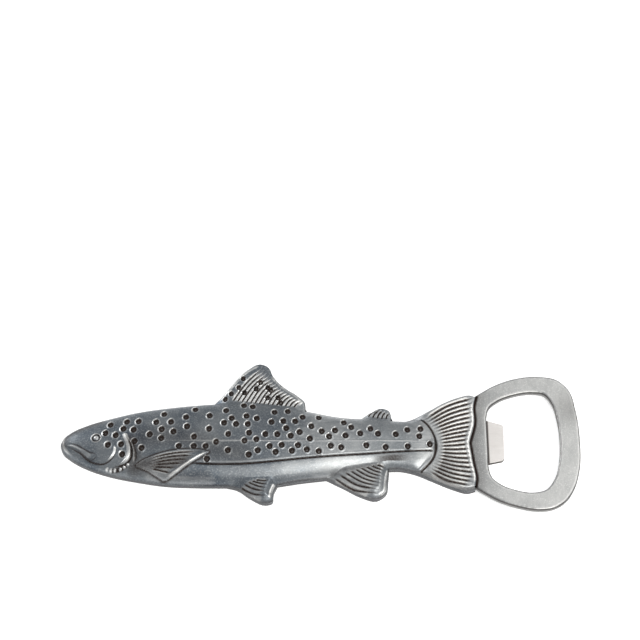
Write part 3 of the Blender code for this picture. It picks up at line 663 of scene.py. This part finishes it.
def skin_grid(loops, cell):
    """A flat grid cut to closed outlines: its points, faces, and distance from the outline.

    Points within half a cell of an outline move onto it, so the edge follows the curve."""
    every = np.concatenate(loops)
    low, high = every.min(axis=0) - cell, every.max(axis=0) + cell
    x, y = np.meshgrid(*(np.arange(low[axis], high[axis], cell) for axis in (0, 1)), indexing="ij")
    distance = np.full(x.shape, np.inf)
    edge_x, edge_y = x.copy(), y.copy()
    within = np.zeros(x.shape, dtype=bool)
    for loop in loops:
        gap, _, near_x, near_y = nearest(np.concatenate([loop, loop[:1]]), x, y)
        closer = gap < distance
        distance = np.where(closer, gap, distance)
        edge_x, edge_y = np.where(closer, near_x, edge_x), np.where(closer, near_y, edge_y)
        within ^= inside(loop, x, y)
    snapped = distance < cell / 2
    used = within | snapped
    x, y = np.where(snapped, edge_x, x), np.where(snapped, edge_y, y)
    distance = np.where(snapped, 0.0, distance)
    number = np.full(x.shape, -1)
    number[used] = np.arange(np.count_nonzero(used))
    corners = np.stack([number[:-1, :-1], number[1:, :-1], number[1:, 1:], number[:-1, 1:]], axis=-1)
    on_edge = snapped[used]
    faces = []
    for corner_numbers in corners[(corners >= 0).sum(axis=-1) >= 3]:
        face = [corner for corner in corner_numbers if corner >= 0]
        if not on_edge[face].all():
            faces.append(face)
    return x[used], y[used], distance[used], faces


def boundary_edges(faces):
    """The edges that only one face has, in that face's direction."""
    seen = {}
    for face in faces:
        for start, end in zip(face, face[1:] + face[:1]):
            if (end, start) in seen:
                del seen[(end, start)]
            else:
                seen[(start, end)] = True
    return list(seen)


def outer_loop(edges):
    """The vertices of a single closed boundary, in order."""
    following = dict(edges)
    loop = [edges[0][0]]
    while following[loop[-1]] != loop[0]:
        loop.append(following[loop[-1]])
    return loop


def add_object(name, mesh):
    """A new object in the scene."""
    thing = bpy.data.objects.new(name, mesh)
    bpy.context.scene.collection.objects.link(thing)
    return thing


def add_mesh(name, points, faces, attributes=None):
    """A mesh object from points in millimetres from the fish's axis."""
    mesh = bpy.data.meshes.new(name)
    placed = (np.array(points) + (0.0, AXIS_Y, 0.0)) * MM
    mesh.from_pydata(placed.tolist(), [], faces)
    for key, values in (attributes or {}).items():
        attribute = mesh.attributes.new(key, "FLOAT", "POINT")
        attribute.data.foreach_set("value", values.astype(np.float32))
    return add_object(name, mesh)


def slab(name, outline, bottom, top):
    """A flat outline made solid between two heights."""
    count = len(outline)
    low = [(x, y, bottom) for x, y in outline]
    high = [(x, y, top) for x, y in outline]
    sides = [[i, (i + 1) % count, count + (i + 1) % count, count + i] for i in range(count)]
    caps = [list(reversed(range(count))), list(range(count, 2 * count))]
    piece = add_mesh(name, low + high, sides + caps)
    mend_normals(piece)
    return piece


def mend_normals(piece):
    """Turn every face of a closed mesh outwards."""
    shape = bmesh.new()
    shape.from_mesh(piece.data)
    bmesh.ops.recalc_face_normals(shape, faces=shape.faces)
    shape.to_mesh(piece.data)
    shape.free()


def grown(outline, distance):
    """The outline moved outwards by a distance."""
    following = np.roll(outline, -1, axis=0)
    twice_area = np.sum(outline[:, 0] * following[:, 1] - following[:, 0] * outline[:, 1])
    along = following - np.roll(outline, 1, axis=0)
    normals = np.stack([along[:, 1], -along[:, 0]], axis=1) * np.sign(twice_area)
    normals /= np.linalg.norm(normals, axis=1)[:, None]
    return outline + distance * normals


def body_hollow():
    """The space inside the casting: the body's own sections, smaller by its wall."""
    places = np.linspace(NOSE_X + 2 * WALL, HOLLOW_END, 48)
    highs, lows = edge_height(BODY_BACK, places) - WALL, edge_height(BODY_BELLY, places) + WALL
    ridges, edge = edge_height(RIDGE, places) - WALL, EDGE_HEIGHT - WALL
    turns = np.linspace(math.pi, 0.0, 17)
    points = []
    for place, low, high, ridge in zip(places, lows, highs, ridges):
        middle, half = (low + high) / 2, (high - low) / 2
        points.append((place, low, HOLLOW_FOOT))
        points += [(place, middle + half * math.cos(turn), edge + (ridge - edge) * math.sin(turn))
                   for turn in turns]
        points.append((place, high, HOLLOW_FOOT))
    count = len(turns) + 2
    faces = [[ring + i, ring + (i + 1) % count, ring + count + (i + 1) % count, ring + count + i]
             for ring in range(0, count * (len(places) - 1), count) for i in range(count)]
    faces += [list(range(count)), list(range(len(points) - count, len(points)))]
    hollow = add_mesh("hollow", points, faces)
    mend_normals(hollow)
    return hollow


def cut(piece, cutter, operation="DIFFERENCE"):
    """Cut or join a piece with another solid, which is then removed."""
    step = piece.modifiers.new("cut", "BOOLEAN")
    step.object = cutter
    step.operation = operation
    step.solver = "EXACT"
    bpy.context.view_layer.update()
    evaluated = piece.evaluated_get(bpy.context.evaluated_depsgraph_get())
    shaped = bpy.data.meshes.new_from_object(evaluated)
    piece.modifiers.clear()
    piece.data = shaped
    bpy.data.objects.remove(cutter, do_unlink=True)


def space_behind():
    """What is cut from the relief's underside: the hollow round its bosses, the plate's pocket
    and the bores of the rivets. These start lower than the rest, so that no faces coincide."""
    space = body_hollow()
    for x, y, _ in SHELL_RIVETS:
        cut(space, slab("boss", circle(x, y, BOSS_RADIUS), SKIN_BOTTOM, RIDGE_TOP + WALL))
    pocket = grown(closed_outline(PLATE_OUTLINE), GAP)
    cut(space, slab("pocket", pocket, HOLLOW_FOOT, SKIN_BOTTOM), "UNION")
    for x, y, top in SHELL_RIVETS:
        bore = circle(x, y, SHELL_SHANK_RADIUS + GAP)
        cut(space, slab("bore", bore, HOLLOW_FOOT - 0.1, top + GAP), "UNION")
    return space


def build_fish():
    """The casting: the relief, closed below by upright walls and a flat foot, then hollowed."""
    x, y, distance, faces = skin_grid([closed_outline(FISH_OUTLINE)], FISH_CELL)
    relief = model_relief(x, y, distance)
    edges = boundary_edges(faces)
    rim = {vertex: len(x) + index for index, vertex in enumerate(sorted({a for a, _ in edges}))}
    walls = [[start, rim[start], rim[end], end] for start, end in edges]
    floor = [rim[vertex] for vertex in reversed(outer_loop(edges))]
    foot = np.array([[x[vertex], y[vertex], SHELL_FOOT] for vertex in rim])
    # Painted shade down the upright walls, stronger behind the head.
    wall_shade = 0.15 + 0.25 * behind_head(foot[:, 0])
    top = np.stack([x, y, np.clip(relief.z, SHELL_FOOT + LEAST_HEIGHT, RIDGE_TOP)], axis=1)
    looks = {"patina_and_shade": np.concatenate([np.clip(relief.patina_and_shade, 0, 1), wall_shade]),
             "polish_and_highlight": np.concatenate([np.clip(relief.polish_and_highlight, 0, 1), np.zeros(len(rim))])}
    fish = add_mesh("trout_relief", np.concatenate([top, foot]), faces + walls + [floor], looks)
    cut(fish, space_behind())
    return fish


def plate_looks(x, y, distance):
    """The plate's patina and painted shade: a painted shadow with patina next to the fish's tail, a
    smudge, painted shade along its walls, and a painted highlight along its rims."""
    fork = np.concatenate([smooth_through(FORK_UPPER), smooth_through(FORK_LOWER)])
    from_fork = nearest(fork, x, y)[0]
    # Painted shadow of the tail's rear edge on the plate, with patina in the corner.
    tail_shadow_and_patina = np.maximum(fall(from_fork, 0.45, 1.05), 0.35 * bump(from_fork / 5.0))
    smudge = 0.3 * bump(np.hypot(x - 86.0, y - 14.0) / 10.0)
    # Painted shade along the edges, and a painted highlight just inside them.
    edge_shade = bump(distance / 0.35)
    rim = bump((distance - 0.6) / 0.45)
    top_patina = np.maximum(np.maximum(tail_shadow_and_patina, smudge), 0.9 * edge_shade)
    return {"patina_and_shade": np.concatenate([top_patina, 0.15 * edge_shade]),
            "polish_and_highlight": np.concatenate([0.35 * rim, np.zeros(len(x))])}


def build_plate():
    """The opener plate: flat, with rounded rims round the loop and its opening."""
    bores = [circle(x, y, SHELL_SHANK_RADIUS + GAP) for x, y, _ in SHELL_RIVETS[1:]]
    bores += [circle(x, y, TAB_SHANK_RADIUS + GAP) for x, y in TAB_RIVETS]
    loops = [closed_outline(PLATE_OUTLINE), closed_curve(OPENING)] + bores
    x, y, distance, faces = skin_grid(loops, PLATE_CELL)
    round_off = 1 - np.sqrt(1 - np.clip(1 - distance / PLATE_ROUNDING, 0, 1) ** 2)
    top = np.stack([x, y, PLATE_TOP - PLATE_ROUNDING * round_off], axis=1)
    bottom = np.stack([x, y, PLATE_FOOT + 0.6 * PLATE_ROUNDING * round_off], axis=1)
    count = len(x)
    under = [[count + vertex for vertex in reversed(face)] for face in faces]
    walls = [[end, start, count + start, count + end] for start, end in boundary_edges(faces)]
    points = np.concatenate([top, bottom])
    return add_mesh("loop_plate", points, faces + under + walls, plate_looks(x, y, distance))


def refined(node, name, width):
    """A CAD piece again, with its flat faces made whole and its edges rounded."""
    shape = bmesh.new()
    shape.from_mesh(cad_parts[node].data)
    bmesh.ops.remove_doubles(shape, verts=shape.verts, dist=MERGE * MM)
    bmesh.ops.dissolve_limit(shape, angle_limit=math.radians(0.5), verts=shape.verts,
                             edges=shape.edges)
    mesh = bpy.data.meshes.new(name)
    shape.to_mesh(mesh)
    shape.free()
    piece = add_object(name, mesh)
    step = piece.modifiers.new("rounded_edges", "BEVEL")
    step.width = width * MM
    step.segments = 3
    step.limit_method = "ANGLE"
    step.angle_limit = math.radians(40)
    return piece


def shade(piece, angle):
    """Smooth shading, apart from edges sharper than the angle."""
    piece.data.shade_smooth()
    piece.data.set_sharp_from_angle(angle=math.radians(angle))


# -------------------- materials

class Look:
    """A node material for bare metal, put together from small steps."""

    def __init__(self, name):
        self.material = bpy.data.materials.new(name)
        self.material.use_nodes = True
        self.tree = self.material.node_tree
        self.shader = self.tree.nodes["Principled BSDF"]
        self.place = self.tree.nodes.new("ShaderNodeTexCoord").outputs["Object"]

    def link(self, value, socket):
        """Give a socket a number, a colour or another node's output."""
        if isinstance(value, bpy.types.NodeSocket):
            self.tree.links.new(value, socket)
        else:
            socket.default_value = value

    def noise(self, scale, detail=3.0, rough=0.55, stretch=(1.0, 1.0, 1.0)):
        """Noise whose blobs are about 1/scale metres wide, and wider along an axis whose stretch is
        less than 1."""
        mapping = self.tree.nodes.new("ShaderNodeMapping")
        mapping.inputs["Scale"].default_value = stretch
        self.link(self.place, mapping.inputs["Vector"])
        noise = self.tree.nodes.new("ShaderNodeTexNoise")
        noise.inputs["Scale"].default_value = scale
        noise.inputs["Detail"].default_value = detail
        noise.inputs["Roughness"].default_value = rough
        self.link(mapping.outputs["Vector"], noise.inputs["Vector"])
        return noise.outputs["Fac"]

    def attribute(self, name):
        """A value that the mesh carries at its points."""
        node = self.tree.nodes.new("ShaderNodeAttribute")
        node.attribute_name = name
        return node.outputs["Fac"]

    def sideways(self):
        """1 on upright faces and 0 on level ones."""
        geometry = self.tree.nodes.new("ShaderNodeNewGeometry")
        split = self.tree.nodes.new("ShaderNodeSeparateXYZ")
        self.link(geometry.outputs["Normal"], split.inputs[0])
        return self.spread(self.math("ABSOLUTE", split.outputs[2]), 0.45, 0.93, 1.0, 0.0)

    def along_x(self):
        """The place along X in metres."""
        split = self.tree.nodes.new("ShaderNodeSeparateXYZ")
        self.link(self.place, split.inputs[0])
        return split.outputs[0]

    def math(self, operation, one, other=0.0, clamp=False):
        """The result of an operation on two values, kept between 0 and 1 if wanted."""
        node = self.tree.nodes.new("ShaderNodeMath")
        node.operation = operation
        node.use_clamp = clamp
        self.link(one, node.inputs[0])
        self.link(other, node.inputs[1])
        return node.outputs[0]

    def spread(self, value, low, high, out_low=0.0, out_high=1.0):
        """Stretch the values from low to high over the range from out_low to out_high."""
        node = self.tree.nodes.new("ShaderNodeMapRange")
        self.link(value, node.inputs["Value"])
        limits = {"From Min": low, "From Max": high, "To Min": out_low, "To Max": out_high}
        for socket, number in limits.items():
            node.inputs[socket].default_value = number
        return node.outputs["Result"]

    def vary(self, noise, one, other):
        """A value that wanders with a noise from one number to another."""
        return self.spread(noise, *NOISE_RANGE, one, other)

    def tone(self, clouds, brushing, share):
        """A blend of clouds, which have the share given, and brushing."""
        return self.math("ADD", self.vary(clouds, 0.0, share), self.vary(brushing, 0.0, 1 - share))

    def mix(self, amount, one, other):
        """A colour between two others."""
        node = self.tree.nodes.new("ShaderNodeMix")
        node.data_type = "RGBA"
        self.link(amount, node.inputs[0])
        self.link(one, node.inputs[6])
        self.link(other, node.inputs[7])
        return node.outputs[2]

    def bump(self, height, distance, strength):
        """Fine unevenness, at most as high as the distance in metres."""
        node = self.tree.nodes.new("ShaderNodeBump")
        node.inputs["Distance"].default_value = distance
        node.inputs["Strength"].default_value = strength
        self.link(height, node.inputs["Height"])
        self.link(node.outputs["Normal"], self.shader.inputs["Normal"])

    def finish(self, colour, roughness, metallic=1.0):
        """Give the shader its main inputs, and return the finished material."""
        self.link(colour, self.shader.inputs["Base Color"])
        self.link(roughness, self.shader.inputs["Roughness"])
        self.link(metallic, self.shader.inputs["Metallic"])
        return self.material


def antique_steel():
    """The casting: blue-grey steel, brown-black in its hollows and where shade is painted, polished on
    its crests and lighter where highlights are painted.
    """
    look = Look("antique_cast_steel")
    patina_and_shade, polish_and_highlight = look.attribute("patina_and_shade"), look.attribute("polish_and_highlight")
    clouds = look.noise(70.0, detail=5.0, rough=0.6)
    speckle = look.noise(1900.0, detail=2.0)
    grain = look.noise(900.0, detail=3.0, stretch=(0.25, 1.0, 1.0))
    body = look.mix(look.spread(clouds, 0.36, 0.64), *CAST_STEEL)
    body = look.mix(look.spread(speckle, 0.50, 0.72, 0.0, 0.55), body, CAST_SPECKLE)
    shine = look.math("MULTIPLY", polish_and_highlight, look.vary(grain, 0.55, 1.0))
    # Polish and painted highlights lighten the colour; patina and painted shade darken it.
    bright = look.mix(shine, body, CAST_POLISHED_AND_HIGHLIGHT)
    darkening = look.math("MULTIPLY", patina_and_shade, look.vary(speckle, 1.15, 0.85), clamp=True)
    colour = look.mix(darkening, bright, CAST_HOLLOW_AND_SHADE)
    rough = look.vary(grain, 0.40, 0.52)
    rough = look.math("SUBTRACT", rough, look.math("MULTIPLY", polish_and_highlight, 0.14))
    rough = look.math("ADD", rough, look.math("MULTIPLY", patina_and_shade, 0.2))
    look.bump(look.math("ADD", speckle, grain), 0.00003, 0.6)
    return look.finish(colour, rough)


def brushed_plate():
    """The plate: light grey, finely brushed and mottled, with a painted highlight along its rims and
    painted shade.
    """
    look = Look("brushed_plate_steel")
    patina_and_shade, polish_and_highlight = look.attribute("patina_and_shade"), look.attribute("polish_and_highlight")
    clouds = look.noise(120.0, detail=4.0)
    brushing = look.noise(700.0, detail=4.0, rough=0.7, stretch=(1.0, 0.3, 1.0))
    speckle = look.noise(2600.0, detail=2.0)
    tarnish = look.noise(28.0, detail=6.0, rough=0.65, stretch=(1.0, 0.7, 1.0))
    metal = look.mix(look.tone(clouds, brushing, 0.4), *PLATE_STEEL)
    metal = look.mix(look.spread(tarnish, 0.50, 0.66, 0.0, 0.5), metal, PLATE_TARNISH)
    metal = look.mix(look.spread(speckle, 0.54, 0.70, 0.0, 0.6), metal, PLATE_SPECKLE)
    # The rims get a painted highlight; painted shadow, painted shade and patina get the dark colour.
    bright = look.mix(look.math("MULTIPLY", polish_and_highlight, 0.6), metal, PLATE_RIM_HIGHLIGHT)
    colour = look.mix(patina_and_shade, bright, PLATE_SHADE_AND_PATINA)
    smoother = look.math("MULTIPLY", polish_and_highlight, 0.1)
    rough = look.math("SUBTRACT", look.vary(brushing, 0.30, 0.44), smoother)
    look.bump(look.math("ADD", brushing, speckle), 0.00002, 0.5)
    return look.finish(colour, rough)


def plain_steel(name, steel, rough, stretch, edge=UPRIGHT_SHADE, shadow_before=None):
    """Sheet or rivet steel with fine brushing, faint clouds and painted shade on its upright faces and
    edges. The tab also has a painted shadow line where it comes out from under the plate."""
    look = Look(name)
    clouds = look.noise(110.0, detail=4.0)
    brushing = look.noise(900.0, detail=4.0, rough=0.7, stretch=stretch)
    # Painted shade on upright faces.
    darkening = look.sideways()
    if shadow_before:
        tab_shadow_line = look.spread(look.along_x(), shadow_before, shadow_before + 0.0004, 0.9, 0.0)
        darkening = look.math("MAXIMUM", darkening, tab_shadow_line)
    look.bump(brushing, 0.00002, 0.5)
    colour = look.mix(darkening, look.mix(look.tone(clouds, brushing, 0.5), *steel), edge)
    return look.finish(colour, look.vary(brushing, rough, rough + 0.12))


def pale_floor():
    """The plain white surface that the opener lies on."""
    look = Look("pale_floor")
    tint = look.noise(8.0, detail=2.0)
    look.shader.inputs["Emission Color"].default_value = (*WHITE, 1.0)
    look.shader.inputs["Emission Strength"].default_value = FLOOR_GLOW
    return look.finish(look.mix(tint, *FLOOR_WHITE), 0.8, metallic=0.0)


# -------------------- stage

def add_softbox(name, place, target, size, radiance, colour):
    """A rectangular area light of an even radiance, facing a target."""
    light = bpy.data.lights.new(name, "AREA")
    light.shape = "RECTANGLE"
    light.size, light.size_y = size
    light.energy = radiance * math.pi * size[0] * size[1]
    light.color = colour
    lamp = add_object(name, light)
    lamp.location = place
    facing = Vector(target) - Vector(place)
    lamp.rotation_euler = facing.to_track_quat("-Z", "Y").to_euler()


def light_scene():
    """An even pale surrounding and the soft boxes."""
    world = bpy.data.worlds.new("studio")
    world.use_nodes = True
    surround = world.node_tree.nodes["Background"]
    surround.inputs["Color"].default_value = SURROUND
    surround.inputs["Strength"].default_value = SURROUND_STRENGTH
    bpy.context.scene.world = world
    for box in SOFTBOXES:
        add_softbox(*box)


def add_floor():
    """A broad plain floor just under the opener."""
    quarters = ((-1, -1), (1, -1), (1, 1), (-1, 1))
    corners = [(x * FLOOR_REACH, y * FLOOR_REACH, FLOOR_DEPTH) for x, y in quarters]
    mesh = bpy.data.meshes.new("floor")
    mesh.from_pydata(corners, [], [[0, 1, 2, 3]])
    mesh.materials.append(pale_floor())
    add_object("floor", mesh)


def add_camera():
    """The camera looks down at the opener, level from side to side."""
    camera = bpy.data.cameras.new("camera")
    camera.lens = LENS
    camera.clip_start = 0.01
    view = add_object("camera", camera)
    back, up = VIEW_DISTANCE * math.cos(VIEW_ELEVATION), VIEW_DISTANCE * math.sin(VIEW_ELEVATION)
    view.location = Vector(VIEW_TARGET) + Vector((0.0, -back, up))
    view.rotation_euler = (math.pi / 2 - VIEW_ELEVATION, 0.0, 0.0)
    bpy.context.scene.camera = view


# -------------------- main

def place_piece(piece, material, node, sharp):
    """Give a piece its material and shading, and let it stand for a CAD node."""
    piece.data.materials.clear()
    piece.data.materials.append(material)
    shade(piece, sharp)
    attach(piece, "root")
    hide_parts(node)


def main():
    """Make the nine pieces, the light, the floor and the camera."""
    place_piece(build_fish(), antique_steel(), "front_shell", 55)
    place_piece(build_plate(), brushed_plate(), "opener_plate", 60)
    cover_steel = plain_steel("cover_steel", COVER_STEEL, 0.34, (0.12, 1.0, 1.0), edge=COVER_UPRIGHT_SHADE)
    tab_steel = plain_steel("tab_steel", TAB_STEEL, 0.3, (0.2, 1.0, 1.0), shadow_before=TAB_STARTS)
    rivet_steel = plain_steel("rivet_steel", RIVET_STEEL, 0.3, (1.0, 1.0, 1.0))
    cover = refined("back_cover", "closing_cover", 0.3)
    place_piece(cover, cover_steel, "back_cover", 40)
    tab = refined("lifting_tab", "cap_lip", 0.35)
    place_piece(tab, tab_steel, "lifting_tab", 40)
    for node in RIVETS:
        rivet = refined(node, "domed_" + node, 0.12)
        place_piece(rivet, rivet_steel, node, 40)
    light_scene()
    add_floor()
    add_camera()
    bpy.context.scene.view_settings.view_transform = "Standard"


main()
